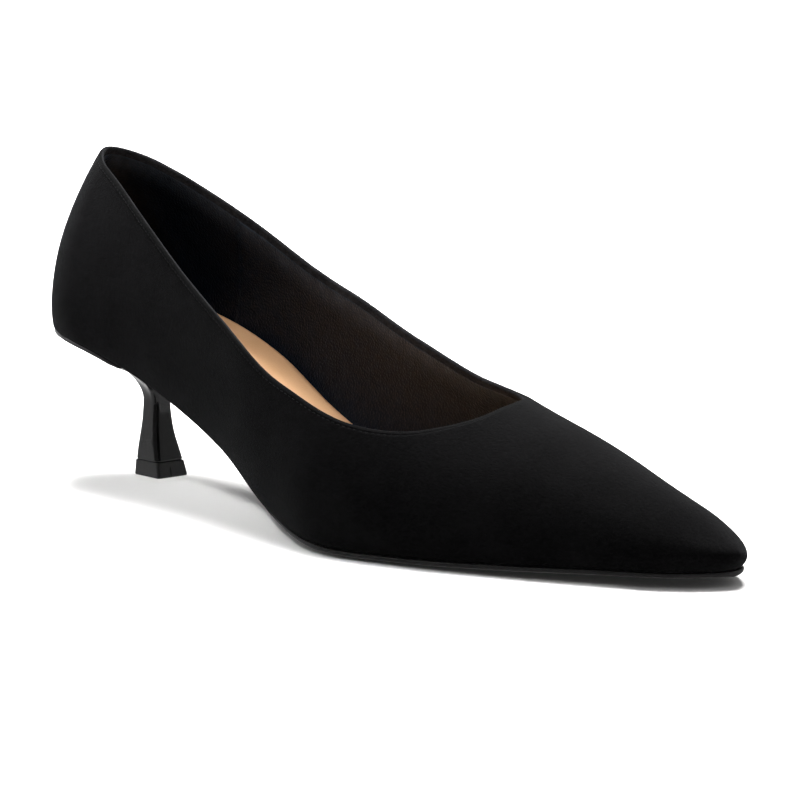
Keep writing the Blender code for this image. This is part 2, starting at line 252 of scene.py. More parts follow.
def outline(side, out, s, rise=0.0):
    """The line rise above the feather edge, moved outwards by out, at stations s."""
    fine = share(np.linspace(0, 1, 3000))
    rise = rise(fine) if callable(rise) else rise + 0 * fine
    line = last_surface(fine, share_at(fine, rise), side)
    run = np.gradient(line[:, :2], axis=0)
    run /= np.linalg.norm(run, axis=1)[:, None]
    away = np.stack([run[:, 1], -run[:, 0]], -1) * -side
    reach = out(fine) if callable(out) else np.full(fine.shape, out)
    line[:, :2] += away * reach[:, None]
    return np.stack([np.interp(s, fine, line[:, i]) for i in range(3)], -1)


# ------------------------------------------------------------------ mesh tools
def smooth(obj, angle=60):
    obj.data.shade_smooth()
    obj.data.set_sharp_from_angle(angle=math.radians(angle))
    return obj


def build(name, grids, materials, closed=False, weld=2e-6):
    """One mesh from grids (points in mm, material index by face row, flip)."""
    shape = bmesh.new()
    for points, slots, flip in grids:
        rows = world(points)
        made = [[shape.verts.new(p) for p in row] for row in rows]
        for j in range(len(made) - 1):
            width = len(made[j])
            for i in range(width if closed else width - 1):
                k = (i + 1) % width
                corners = (made[j][i], made[j][k], made[j + 1][k], made[j + 1][i])
                face = shape.faces.new(corners[::-1] if flip else corners)
                face.material_index = slots[j]
        if closed == "capped":
            for ring, slot in ((made[0], slots[0]), (made[-1], slots[-1])):
                middle = shape.verts.new(np.mean([v.co for v in ring], axis=0))
                for i in range(len(ring)):
                    face = shape.faces.new((ring[i], ring[(i + 1) % len(ring)], middle))
                    face.material_index = slot
    bmesh.ops.remove_doubles(shape, verts=shape.verts, dist=weld)
    bmesh.ops.dissolve_degenerate(shape, edges=shape.edges, dist=weld)
    bmesh.ops.recalc_face_normals(shape, faces=shape.faces)
    if shape.calc_volume(signed=True) < 0:
        bmesh.ops.reverse_faces(shape, faces=shape.faces)
    mesh = bpy.data.meshes.new(name)
    shape.to_mesh(mesh)
    shape.free()
    obj = bpy.data.objects.new(name, mesh)
    for material in materials:
        mesh.materials.append(material)
    bpy.context.scene.collection.objects.link(obj)
    return obj


# ------------------------------------------------------------------- materials
class Nodes:
    """Short names for making a node tree."""

    def __init__(self, name):
        self.material = bpy.data.materials.new(name)
        self.material.use_nodes = True
        self.tree = self.material.node_tree
        self.shader = self.tree.nodes["Principled BSDF"]
        self.place = self.add("ShaderNodeTexCoord").outputs["Object"]

    def add(self, kind, **values):
        node = self.tree.nodes.new(kind)
        for key, value in values.items():
            setattr(node, key, value)
        return node

    def link(self, a, b):
        self.tree.links.new(a, b)

    def set(self, **values):
        for key, value in values.items():
            self.shader.inputs[key.replace("_", " ")].default_value = value

    def noise(self, scale, detail=3.0, rough=0.55, stretch=(1, 1, 1)):
        node = self.add("ShaderNodeTexNoise")
        node.inputs["Scale"].default_value = scale
        node.inputs["Detail"].default_value = detail
        node.inputs["Roughness"].default_value = rough
        if stretch == (1, 1, 1):
            self.link(self.place, node.inputs["Vector"])
        else:
            turn = self.add("ShaderNodeMapping")
            turn.inputs["Scale"].default_value = stretch
            self.link(self.place, turn.inputs["Vector"])
            self.link(turn.outputs["Vector"], node.inputs["Vector"])
        return node.outputs["Fac"]

    def cells(self, scale, feature="F1"):
        node = self.add("ShaderNodeTexVoronoi", feature=feature)
        node.inputs["Scale"].default_value = scale
        self.link(self.place, node.inputs["Vector"])
        return node.outputs["Distance"]

    def maths(self, operation, a, b):
        node = self.add("ShaderNodeMath", operation=operation)
        for value, socket in ((a, node.inputs[0]), (b, node.inputs[1])):
            if isinstance(value, (int, float)):
                socket.default_value = value
            else:
                self.link(value, socket)
        return node.outputs[0]

    def ramp(self, value, *stops):
        node = self.add("ShaderNodeValToRGB")
        while len(node.color_ramp.elements) < len(stops):
            node.color_ramp.elements.new(0.5)
        for element, (at, colour) in zip(node.color_ramp.elements, stops):
            element.position = at
            element.color = (*colour, 1) if hasattr(colour, "__len__") else (colour, colour, colour, 1)
        self.link(value, node.inputs["Fac"])
        return node.outputs["Color"]

    def bump(self, height, distance, strength=1.0, after=None):
        node = self.add("ShaderNodeBump")
        node.inputs["Strength"].default_value = strength
        node.inputs["Distance"].default_value = distance
        self.link(height, node.inputs["Height"])
        if after is not None:
            self.link(after, node.inputs["Normal"])
        return node.outputs["Normal"]


def suede(name="black_microsuede", depth=1.0):
    """Black microsuede: a short nap that catches light where it is seen edge on."""
    n = Nodes(name)
    nap = n.noise(4200, 3, 0.7)
    brushed = n.noise(1250, 5, 0.7, (0.7, 1.0, 1.3))
    clouds = n.noise(70, 3, 0.6)
    tone = n.maths("ADD", n.maths("MULTIPLY", brushed, 0.65), n.maths("MULTIPLY", clouds, 0.35))
    dark, light = (tuple(np.array(c) * depth) for c in ((0.0003, 0.0003, 0.0004), (0.0026, 0.0026, 0.0028)))
    n.link(n.ramp(tone, (0.36, dark), (0.66, light)), n.shader.inputs["Base Color"])
    fine = n.bump(nap, 0.00015, 0.9)
    n.link(n.bump(brushed, 0.0004, 0.7, fine), n.shader.inputs["Normal"])
    n.set(Roughness=0.92, Sheen_Weight=0.028, Sheen_Roughness=0.35, Specular_IOR_Level=0.03)
    n.shader.inputs["Sheen Tint"].default_value = (0.75, 0.78, 0.82, 1)
    return n.material


def lining(name, depth):
    """Black lining with a fine pebbled grain, tinted blue against the sock's warm bounce light, with a painted
    highlight that lightens it near the edge.
    """
    n = Nodes(name)
    pebble = n.cells(1500)
    fine = n.noise(3500, 2, 0.6)
    cloud = n.noise(260, 4)
    # a blue tint painted in to offset the warm light the tan sock throws on the lining
    dark, light = (np.array(c) * depth for c in ((0.0010, 0.0021, 0.0042), (0.0024, 0.0044, 0.0082)))
    plain = n.ramp(cloud, (0.3, tuple(dark)), (0.7, tuple(light)))
    # painted highlight: the lining is drawn lighter within 13 mm of the topline, where light grazes it
    painted_highlight = n.ramp(cloud, (0.3, (0.0115, 0.0150, 0.0205)), (0.7, (0.024, 0.030, 0.039)))
    near = n.add("ShaderNodeAttribute", attribute_name="edge_distance")
    fade = n.add("ShaderNodeMapRange", interpolation_type="SMOOTHERSTEP")
    for key, value in {"From Min": 0.0, "From Max": 13.0, "To Min": 1.0, "To Max": 0.0}.items():
        fade.inputs[key].default_value = value
    n.link(near.outputs["Fac"], fade.inputs["Value"])
    mix = n.add("ShaderNodeMix", data_type="RGBA")
    n.link(n.maths("POWER", fade.outputs["Result"], 1.6), mix.inputs["Factor"])
    n.link(plain, mix.inputs["A"])
    n.link(painted_highlight, mix.inputs["B"])
    n.link(mix.outputs["Result"], n.shader.inputs["Base Color"])
    n.link(n.ramp(pebble, (0.0, 0.55), (0.8, 0.38)), n.shader.inputs["Roughness"])
    n.link(n.bump(pebble, 0.00018, 0.9, n.bump(fine, 0.00006, 0.6)), n.shader.inputs["Normal"])
    n.set(Specular_IOR_Level=0.08)
    return n.material


def sock():
    """Tan sock with a fine grain and slightly uneven colour."""
    n = Nodes("tan_sock")
    cloud = n.noise(55, 3)
    grain = n.cells(1900)
    speck = n.noise(2600, 2)
    mixed = n.maths("ADD", n.maths("MULTIPLY", cloud, 0.7), n.maths("MULTIPLY", speck, 0.3))
    n.link(n.ramp(mixed, (0.3, (0.60, 0.335, 0.165)), (0.7, (0.70, 0.415, 0.222))), n.shader.inputs["Base Color"])
    n.link(n.bump(grain, 0.00009, 0.7, n.bump(speck, 0.00005, 0.5)), n.shader.inputs["Normal"])
    n.set(Roughness=0.52, Specular_IOR_Level=0.4)
    return n.material


def sole_black():
    """Black sole with a faint sheen on its edge."""
    n = Nodes("black_sole")
    grain = n.noise(1800, 4, 0.6)
    cloud = n.noise(90, 2)
    n.link(n.ramp(cloud, (0.3, (0.0045, 0.0045, 0.0048)), (0.7, (0.0085, 0.0083, 0.0084))), n.shader.inputs["Base Color"])
    n.link(n.ramp(grain, (0.3, 0.4), (0.7, 0.55)), n.shader.inputs["Roughness"])
    n.link(n.bump(grain, 0.00007, 0.6), n.shader.inputs["Normal"])
    n.set(Specular_IOR_Level=0.14)
    return n.material


def lacquer():
    """High gloss black lacquer with the faintest waviness."""
    n = Nodes("black_lacquer")
    wave = n.noise(140, 1.5, 0.4)
    n.link(n.bump(wave, 0.00006, 0.35), n.shader.inputs["Normal"])
    n.link(n.ramp(n.noise(300, 2), (0.3, 0.05), (0.7, 0.09)), n.shader.inputs["Roughness"])
    n.shader.inputs["Base Color"].default_value = (0.002, 0.002, 0.0021, 1)
    n.set(Specular_IOR_Level=0.38)
    return n.material


def top_piece_black():
    """Satin black moulding."""
    n = Nodes("black_top_piece")
    grain = n.noise(2400, 3, 0.6)
    n.link(n.bump(grain, 0.00005, 0.6), n.shader.inputs["Normal"])
    n.link(n.ramp(n.noise(500, 2), (0.3, 0.30), (0.7, 0.42)), n.shader.inputs["Roughness"])
    n.link(n.ramp(grain, (0.3, (0.005, 0.005, 0.0052)), (0.7, (0.009, 0.0088, 0.009))), n.shader.inputs["Base Color"])
    n.set(Specular_IOR_Level=0.3)
    return n.material


def thread():
    n = Nodes("black_thread")
    twist = n.noise(6000, 2, 0.5, (1, 3, 3))
    n.link(n.bump(twist, 0.00008, 0.8), n.shader.inputs["Normal"])
    n.link(n.ramp(twist, (0.3, (0.0022, 0.0022, 0.0024)), (0.7, (0.006, 0.006, 0.0065))), n.shader.inputs["Base Color"])
    n.set(Roughness=0.7, Specular_IOR_Level=0.1)
    return n.material


SUEDE, SUEDE_PAINTED_HIGHLIGHT, LINING, LINING_REAR, SOCK, SOLE_BLACK, LACQUER, TOP_BLACK, THREAD = (
    suede(),
    # the suede eight times lighter on the folded edge and its turned-in band: a painted highlight along the topline
    suede("black_microsuede_painted_highlight", 8.0),
    lining("black_lining", 1.0),
    lining("black_lining_rear", 0.75),
    sock(),
    sole_black(),
    lacquer(),
    top_piece_black(),
    thread(),
)

# ----------------------------------------------------------------------- upper
# Columns run from the feather edge to the topline (places 0 to 1) or to the ridge
# (places 1 to 2). They are closer at the back seam and at the lining's seam.
OPEN_COLUMNS, CLOSED_COLUMNS = 190, 78
LINING_SEAM = {"low": (41.0, 44.0), "high": (51.5, 77.0), "step": 0.5}
BACK_SEAM_DEPTH = 0.28


def places():
    plain = np.concatenate([np.linspace(0, 1, OPEN_COLUMNS + 1), 1 + np.linspace(0, 1, CLOSED_COLUMNS + 1)[1:]])
    back = np.array([0.15, 0.3, 0.45, 0.6, 0.8, 1.05, 1.4]) / 215
    seam = 0.2315 + np.linspace(-2.0, 2.0, 21) / 215
    toe = 2 - np.array([0.25, 0.5, 0.75]) / CLOSED_COLUMNS
    return np.unique(np.round(np.concatenate([plain, back, seam, toe]), 6))


def topline_curve(side, count=6000):
    """(tau, h) along the topline, from the back seam to the throat, by arc length."""
    s = column(TOPLINE, TOPLINE_COLUMNS, "s_lat" if side < 0 else "s_med")
    h = column(TOPLINE, TOPLINE_COLUMNS, "h_lat" if side < 0 else "h_med")
    t = np.concatenate([[0], np.cumsum(np.hypot(np.diff(s) * 2.5, np.diff(h)))])
    at = t[-1] * np.linspace(0, 1, count) ** 2
    s, h = curve(t, s, at), np.clip(curve(t, h, at), 0, 1)
    return tau_of(np.clip(s, 0, 1)), h


def away_from_opening(tau, h, side, run):
    """Unit direction in the surface, square to the topline and out of the opening."""
    _, _, _, normal = surface(tau, h, side)
    return unit(np.cross(run, normal)) * -side


def march(tau, h, side, run, distances):
    """Points at these distances from the topline, walked along the surface."""
    found, done = [], 0.0
    heading = away_from_opening(tau, h, side, run)
    tau, h = tau.copy(), h.copy()
    for distance in distances:
        steps = max(1, int(math.ceil((distance - done) / 0.25)))
        for _ in range(steps):
            _, along, up, normal = surface(tau, h, side)
            go = unit(heading - normal * np.sum(heading * normal, -1, keepdims=True))
            aa, ab, bb = np.sum(along * along, -1), np.sum(along * up, -1), np.sum(up * up, -1)
            ga, gb = np.sum(go * along, -1), np.sum(go * up, -1)
            det = np.maximum(aa * bb - ab * ab, 1e-9)
            size = (distance - done) / steps
            tau = np.clip(tau + size * (ga * bb - gb * ab) / det, 0, 1)
            h = np.clip(h + size * (gb * aa - ga * ab) / det, 0, 1)
            tau[0], h[-1] = 0.0, 1.0
            heading = go
        done = distance
        found.append((tau.copy(), h.copy(), heading.copy()))
    return found


def rolled_edge(tau, h, side, run, c):
    """The topline moved out a little, because its folded edge rounds off."""
    out = 0.35 + (0.2 if side > 0 else -0.15) * np.sin(np.pi * c)
    heading = away_from_opening(tau, h, side, run)
    _, along, up, normal = surface(tau, h, side)
    go = -unit(heading - normal * np.sum(heading * normal, -1, keepdims=True))
    aa, ab, bb = np.sum(along * along, -1), np.sum(along * up, -1), np.sum(up * up, -1)
    ga, gb = np.sum(go * along, -1), np.sum(go * up, -1)
    det = np.maximum(aa * bb - ab * ab, 1e-9)
    tau = np.clip(tau + out * (ga * bb - gb * ab) / det, 0, 1)
    h = np.clip(h + out * (gb * aa - ga * ab) / det, 0, 1)
    tau[0], h[-1] = 0.0, 1.0
    return tau, h


def upper_columns(side):
    c = places()
    is_open = c <= 1.0
    tau_f, h_f = topline_curve(side)
    points = last_surface(share(tau_f), h_f, side)
    index = even(points, 4001)
    tau_top, h_top = (at_index(at_index(v, index), c[is_open] * 4000) for v in (tau_f, h_f))
    tau_top[0], h_top[-1] = 0.0, 1.0
    p = last_surface(share(tau_top), h_top, side)
    run = unit(np.gradient(p, axis=0))
    run[0], run[-1] = (0, side, 0), (0, -side, 0)
    tau_top, h_top = rolled_edge(tau_top, h_top, side, run, c[is_open])
    # the ridge starts where the outer band ends, in front of the throat
    band = march(tau_top, h_top, side, run, OUTER_BAND)
    inner_band = march(tau_top, h_top, side, run, INNER_BAND)
    start = band[-1][0][-1]
    s0 = share(start)
    ridge_s = s0 + (1 - s0) * np.sin(np.linspace(0, 1, 2000) * np.pi / 2)
    index = even(last_surface(ridge_s, np.ones(2000), side), 1001, 0.5)
    ridge = tau_of(at_index(at_index(ridge_s, index), (c[~is_open] - 1) * 1000))
    # the lower edge
    edge_s = share(np.linspace(0, 1, 3000))
    index = even(last_surface(edge_s, 0, side), 4001, 0.45)
    part = np.where(c <= 1, c * 34 / 48, (34 + (c - 1) * 14) / 48)
    low = tau_of(at_index(at_index(edge_s, index), part * 4000))
    low[0] = 0.0
    low[-1] = 1.0
    top_tau = np.concatenate([band[-1][0], ridge])
    top_h = np.concatenate([band[-1][1], np.ones(len(ridge))])
    return c, is_open, band, inner_band, top_tau, top_h, low


def ripple(points, side):
    """Slight unevenness of a lasted upper, and the suede's own fullness over the vamp."""
    x, z = points[..., 0], points[..., 2]
    full = 0.4 * np.clip((x - 150.0) / 30.0, 0, 1) * np.clip((z - 12.0) / 14.0, 0, 1)
    return full + 0.05 * np.sin(x / 17.0 + side) * np.sin(z / 9.0 + x / 31.0) + 0.03 * np.sin(x / 7.3 + z / 5.1)


def seam_offset(points):
    """The lining's front part lies over its back part: the step at their seam."""
    (x0, z0), (x1, z1) = LINING_SEAM["low"], LINING_SEAM["high"]
    away = points[..., 0] - (x0 + (x1 - x0) * (points[..., 2] - z0) / (z1 - z0))
    step = 1 / (1 + np.exp(np.clip(-(away + 0.1) / 0.09, -60, 60)))
    return LINING_SEAM["step"] * (step * np.exp(-np.clip(away, 0, None) / 14.0)) - 0.16 * np.exp(-(((away + 0.45) / 0.3) ** 2))


def upper_grid(side):
    """Rows from the inner lower edge up the lining, over the folded edge and down the suede to the lower lip."""
    c, is_open, band, inner_band, top_tau, top_h, low = upper_columns(side)
    rows_outer, rows_inner = 46, 34
    columns = len(c)

    def sheet(u):
        tau = low[None] * (1 - u[:, None]) + top_tau[None] * u[:, None]
        return surface(tau, top_h[None] * u[:, None], side)

    # outer sheet, top to bottom, stopping where the lower edge starts to turn
    u = 1 - (np.linspace(0, 1, rows_outer + 1))
    u[-1] = 0.012
    p, _, _, normal = sheet(u)
    seam_off = BACK_SEAM_DEPTH * np.exp(-((np.abs(p[..., 1] - station("mid", 0)) / 0.33) ** 2)) * (p[..., 0] < 26)
    outer = p + normal * (ripple(p, side) - seam_off)[..., None]

    # lower lip: rounds under, then runs flat under the insole
    base, along, _, _ = surface(low, np.zeros(columns), side)
    flat = along.copy()
    flat[:, 2] = 0
    flat = unit(flat)
    away = np.stack([flat[:, 1], -flat[:, 0], 0 * flat[:, 0]], -1) * -side
    lip = []
    for inwards, drop in ((0.12, -0.18), (0.4, -0.22), (0.8, -0.24), (2.0, -0.24), (3.6, -0.24), (3.7, -0.1), (3.6, 0.02), (2.1, 0.03)):
        lip.append(base - away * inwards + np.array([0, 0, drop]))
    lip = np.array(lip)

    # inner sheet, bottom to top
    u = np.linspace(0, 1, rows_inner + 1)
    u[0] = 0.02
    p, _, _, normal = sheet(u)
    inner = p - normal * (WALL + seam_offset(p))[..., None]
    inner[0] = base - away * (WALL + 0.1) + np.array([0, 0, 0.6])

    grids = [(outer, [0] * rows_outer), (np.concatenate([outer[-1:], lip, inner[:1]]), [0] * 7 + [1] * 2), (inner, [1] * rows_inner)]

    # folded edge over the open columns
    tau, h, heading = band[0]
    start, _, _, normal = surface(tau, h, side)
    heading = unit(heading)
    turn = np.linspace(0, np.pi, 9)[:, None, None]
    middle = start - FOLD_RADIUS * normal
    roll = middle[None] + FOLD_RADIUS * (np.cos(turn) * normal[None] - np.sin(turn) * heading[None])
    outer_rows = []
    for distance, (tau, h, _) in zip(OUTER_BAND, band):
        p, _, _, n = surface(tau, h, side)
        sunk = 0.13 * np.exp(-(((distance - STITCH_LINE) / 0.22) ** 2)) - 0.05 * np.exp(-(((distance - 0.95) / 0.25) ** 2))
        seam_off = BACK_SEAM_DEPTH * np.exp(-((np.abs(p[..., 1]) / 0.33) ** 2)) * (p[..., 0] < 26)
        fade = 1 - math.exp(-((distance - 0.7) / 0.6) ** 2)
        outer_rows.append(p + n * ((ripple(p, side) - seam_off) * fade - sunk * (distance > 0.8))[:, None])
    inner_rows = []
    for distance, (tau, h, _) in zip(INNER_BAND, inner_band):
        p, _, _, n = surface(tau, h, side)
        lapped = 1 / (1 + math.exp(-(distance - TURNED_IN) / 0.06))
        thick = 2 * FOLD_RADIUS + (WALL - 2 * FOLD_RADIUS) * min(1.0, (distance - 0.65) / 1.2) * 0.6
        thick = thick + lapped * (WALL - thick)
        thick = thick + lapped * seam_offset(p)
        inner_rows.append(p - n * np.broadcast_to(thick, (len(tau),))[:, None])
    outer_rows[-1] = outer[0][is_open]
    inner_rows[-1] = inner[-1][is_open]
    fold = np.concatenate([inner_rows[::-1], roll[::-1][1:-1], outer_rows])
    # slot 3, the lighter suede on the roll and the turned-in band, is a painted highlight along the topline
    fold_slots = [1 if d > TURNED_IN else 3 for d in INNER_BAND[:0:-1]] + [3] * 5 + [0] * (len(fold) - len(INNER_BAND) - 5)
    grids.append((fold, fold_slots))
    return [(points, slots, False) for points, slots in grids]


def finish_upper(obj):
    """Distance from the topline on every point, and the heel part of the lining as a piece of its own."""
    near = KDTree(2 * 1500)
    for side in (-1, 1):
        tau, h = topline_curve(side, 1500)
        for i, p in enumerate(last_surface(share(tau), h, side)):
            near.insert(p, i)
    near.balance()
    mesh = obj.data
    points = np.empty(len(mesh.vertices) * 3)
    mesh.vertices.foreach_get("co", points)
    points = points.reshape(-1, 3) * 1000 + MIDDLE
    far = np.array([near.find(p)[2] for p in points])
    mesh.attributes.new("edge_distance", "FLOAT", "POINT").data.foreach_set("value", far.astype(np.float32))
    (x0, z0), (x1, z1) = LINING_SEAM["low"], LINING_SEAM["high"]
    for face in mesh.polygons:
        x, _, z = np.array(face.center) * 1000 + MIDDLE
        if face.material_index == 1 and x < x0 + (x1 - x0) * (z - z0) / (z1 - z0):
            face.material_index = 2
    return obj


upper = finish_upper(
    smooth(build("upper_suede", upper_grid(-1) + upper_grid(1), [SUEDE, LINING, LINING_REAR, SUEDE_PAINTED_HIGHLIGHT], weld=8e-6), 70)
)
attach(upper, "root")
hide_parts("upper")


# -------------------------------------------------------------------- stitches
def stitches():
    """A row of short stitches, sunk in their line below the folded edge."""
    shape = bmesh.new()
    bends, around = 6, 6
    for side in (-1, 1):
        tau_f, h_f = topline_curve(side)
        index = even(last_surface(share(tau_f), h_f, side), 1201)
        tau, h = at_index(tau_f, index), at_index(h_f, index)
        tau[0], h[-1] = 0.0, 1.0
        run = unit(np.gradient(last_surface(share(tau), h, side), axis=0))
        run[0], run[-1] = (0, side, 0), (0, -side, 0)
        tau, h = rolled_edge(tau, h, side, run, np.linspace(0, 1, len(tau)))
        tau, h, _ = march(tau, h, side, run, (STITCH_LINE,))[0]
        line, _, _, normal = surface(tau, h, side)
        far = np.concatenate([[0], np.cumsum(np.linalg.norm(np.diff(line, axis=0), axis=1))])
        count = int(far[-1] / STITCH["pitch"])
        pitch = far[-1] / count
        for k in range(count):
            share_along = np.linspace(-0.5, 0.5, bends + 1)
            at = (k + 0.5) * pitch + share_along * STITCH["long"]
            centre = np.stack([np.interp(at, far, line[:, i]) for i in range(3)], -1)
            n = unit(np.stack([np.interp(at, far, normal[:, i]) for i in range(3)], -1))
            lift = -0.13 + 0.10 * (1 - (2 * share_along) ** 4) - 0.10 * (np.abs(share_along) > 0.45)
            centre = centre + n * lift[:, None]
            t = unit(np.gradient(centre, axis=0))
            across = unit(np.cross(t, n))
            up = np.cross(across, t)
            size = STITCH["radius"] * np.sqrt(np.clip(1 - (2 * share_along * 0.93) ** 4, 0.05, 1))
            rings = []
            for i in range(bends + 1):
                turn = np.arange(around) * 2 * np.pi / around
                ring = centre[i] + size[i] * (np.cos(turn)[:, None] * across[i] + 0.8 * np.sin(turn)[:, None] * up[i])
                rings.append([shape.verts.new(v) for v in world(ring)])
            for a, b in zip(rings, rings[1:]):
                for i in range(around):
                    j = (i + 1) % around
                    shape.faces.new((a[i], a[j], b[j], b[i]))
            shape.faces.new(rings[0][::-1])
            shape.faces.new(rings[-1])
    bmesh.ops.recalc_face_normals(shape, faces=shape.faces)
    mesh = bpy.data.meshes.new("edge_stitches")
    shape.to_mesh(mesh)
    shape.free()
    mesh.materials.append(THREAD)
    obj = bpy.data.objects.new("edge_stitches", mesh)
    bpy.context.scene.collection.objects.link(obj)
    mesh.shade_smooth()
    return obj


row = stitches()
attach(row, "root")


# ---------------------------------------------------------------------- insole
def insole():
    """Sock on its board: rounded edge, dished a little at the heel, a faint crease along it."""
    s = share(np.linspace(0.0, 1, 181))
    low_l, low_r = outline(-1, insole_out(2.75), s), outline(1, insole_out(2.75), s)
    top_l, top_r = outline(-1, insole_out(2.28), s, insole_thick), outline(1, insole_out(2.28), s, insole_thick)
    t = np.sin(np.linspace(-1, 1, 41) * np.pi / 2)
    rings = []
    for i in range(len(s)):
        z = station("feather", s[i]) + GAP / 2
        half = 0.5 * np.linalg.norm(top_r[i, :2] - top_l[i, :2])
        inwards = np.clip((1 - np.abs(t)) * half, 0, None)
        edge = 0.55 * np.clip(1 - inwards / 0.9, 0, 1) ** 2.2
        dish = 0.3 * np.exp(-(((s[i] - 0.1) / 0.1) ** 2)) * (1 - t**2)
        dish = dish - 1.9 * np.exp(-(((s[i] - 0.24) / 0.14) ** 2)) * np.clip(inwards / 2.5, 0, 1) ** 0.5
        crease = 0.22 * np.exp(-(((t * half - 1.2) / 1.3) ** 2)) * np.exp(-(((s[i] - 0.42) / 0.16) ** 2))
        plan = top_l[i, :2] + (top_r[i, :2] - top_l[i, :2]) * ((t + 1) / 2)[:, None]
        above = np.column_stack([plan, z + insole_thick(s[i]) - edge - dish - crease])
        under = low_l[i, :2] + (low_r[i, :2] - low_l[i, :2]) * np.linspace(0, 1, 9)[:, None]
        below = np.column_stack([under, np.full(9, z + 0.02)])
        rings.append(np.concatenate([above, below[::-1]]))
    return build("insole_sock", [(np.array(rings), [0] * len(rings), False)], [SOCK], closed="capped", weld=4e-6)


sock_piece = smooth(insole(), 50)
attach(sock_piece, "root")
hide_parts("insole")


# --------------------------------------------------------------------- outsole
def outsole():
    """Thin sole with a softly rounded edge, flat where it stands."""
    start = (BREAST_X + 0.5 + GAP) / LENGTH
    s = start + (1 - start) * np.sin(np.linspace(0, 1, 161) * np.pi / 2) ** 1.1
    left = outline(-1, lambda f: sole("stands_out", f), s)
    right = outline(1, lambda f: sole("stands_out", f), s)
    rings = []
    turn = np.linspace(0, np.pi / 2, 5)
    for i in range(len(s)):
        top = station("feather", s[i]) - GAP
        half = 0.5 * np.linalg.norm(right[i, :2] - left[i, :2])
        edge, crown = sole("edge", s[i]), sole("crown", s[i])
        r = min(0.42, edge * 0.4, half * 0.4)
        # half profile from the middle of the top to the middle of the bottom: (way in from the edge, height)
        above = [(inwards, top) for inwards in half * (1 - np.sin(np.linspace(0, 1, 7) * np.pi / 2))[:-1] if inwards > r]
        corner = [(r - r * np.sin(a), top - r + r * np.cos(a)) for a in turn]
        t = np.sin(np.linspace(1, 0, 15) * np.pi / 2)
        bottom = top - (edge + crown * (1 - t**3))
        under = [(half * (1 - tt), max(b, 0.0)) for tt, b in zip(t, bottom)]
        low_z = max(top - edge, 0.0)
        low_corner = [(r - r * np.cos(a), low_z + r - r * np.sin(a)) for a in turn]
        under = [(w, z) for w, z in under if w > r * 1.2]
        while len(above) < 6:
            above.append((max(r * 1.05, above[-1][0] * 0.8), top))
        need = 14 - len(under)
        under = [under[0]] * max(need, 0) + under
        profile = np.array(above[:6] + corner + low_corner + under[-14:])
        way = (profile[:, 0] / (2 * half))[:, None]
        l2r = right[i, :2] - left[i, :2]
        one = np.column_stack([left[i, :2] + l2r * way, profile[:, 1]])
        two = np.column_stack([right[i, :2] - l2r * way, profile[:, 1]])
        rings.append(np.concatenate([one, two[::-1]]))
    return build("outsole_black", [(np.array(rings), [0] * len(rings), False)], [SOLE_BLACK], closed="capped", weld=3e-6)


sole_piece = smooth(outsole(), 50)
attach(sole_piece, "root")
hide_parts("outsole")


# ------------------------------------------------------------------------ heel
def square_ring(side, mid_x, mid_y, corner, flats=8, bends=9):
    flat = side / 2 - corner
    ring = []
    for turn in np.arange(4) * np.pi / 2:
        points = [(side / 2, y) for y in np.linspace(-flat, flat, flats + 1)[:-1]]
        for bend in np.linspace(0, np.pi / 2, bends + 1)[:-1]:
            points.append((flat + corner * np.cos(bend), flat + corner * np.sin(bend)))
        for x, y in points:
            ring.append((mid_x + x * np.cos(turn) - y * np.sin(turn), mid_y + x * np.sin(turn) + y * np.cos(turn)))
    return np.array(ring)


def seat_ring(neck, mid_x, mid_y, inset):
    s = np.linspace(0, 1.1 * BREAST_X / LENGTH, 900)
    left, right = outline(-1, -inset, s)[:, :2], outline(1, -inset, s)[:, :2]
    left, right = left[left[:, 0] <= BREAST_X], right[right[:, 0] <= BREAST_X]
    breast = np.column_stack([np.full(160, BREAST_X), np.linspace(right[-1, 1], left[-1, 1], 160)])
    way = np.concatenate([left[::-1], right[1:], breast]) - (mid_x, mid_y)
    turn, reach = np.arctan2(way[:, 1], way[:, 0]), np.hypot(*way.T)
    order = np.argsort(turn)
    angles = np.arctan2(neck[:, 1] - mid_y, neck[:, 0] - mid_x)
    far = np.interp(angles, turn[order], reach[order], period=2 * np.pi)
    return np.column_stack([mid_x + far * np.cos(angles), mid_y + far * np.sin(angles)])


def heel():
    """Flared stem, waisted at the neck and swept into the thin cup under the seat."""
    table = {name: column(STEM, STEM_COLUMNS, name) for name in STEM_COLUMNS}
    rings = []
    first = table["z"][0]
    for z in np.concatenate([[first, first + 0.06, first + 0.18], np.linspace(first + 0.35, table["z"][-1], 26)]):
        side, mid_x, mid_y = (curve(table["z"], table[name], z) for name in ("side", "mid_x", "mid_y"))
        side = side - 2 * 0.16 * max(0.0, 1 - (z - first) / 0.18) ** 2
        plan = square_ring(side, mid_x, mid_y, STEM_CORNER)
        rings.append(np.column_stack([plan, np.full(len(plan), z)]))
    neck, neck_z, mid_x, mid_y = rings[-1][:, :2], table["z"][-1], table["mid_x"][-1], table["mid_y"][-1]
    seat = seat_ring(neck, mid_x, mid_y, 0.35)

    def seat_top(plan):
        return station("feather", np.clip(plan[:, 0] / LENGTH, 0, 1)) - GAP

    under = seat_top(seat) - SEAT_EDGE
    for t in np.linspace(0, 1, 46)[1:] ** 2:
        plan = neck + (seat - neck) * t
        z = neck_z + (under - neck_z) * t**0.5
        rings.append(np.column_stack([plan, z]))
    middle = np.array([mid_x, mid_y])
    out = unit(seat - middle)
    for inwards, up in ((0.0, 0.35), (0.0, 0.8), (0.12, 1.05), (0.4, SEAT_EDGE)):
        rings.append(np.column_stack([seat - out * inwards, under + up]))
    for t in (0.93, 0.8, 0.6, 0.4, 0.2):
        plan = middle + (seat - middle) * t
        rings.append(np.column_stack([plan, seat_top(plan)]))
    return build("heel_lacquer", [(np.array(rings), [0] * len(rings), False)], [LACQUER], closed="capped", weld=3e-6)


heel_piece = smooth(heel(), 50)
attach(heel_piece, "root")
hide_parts("heel")


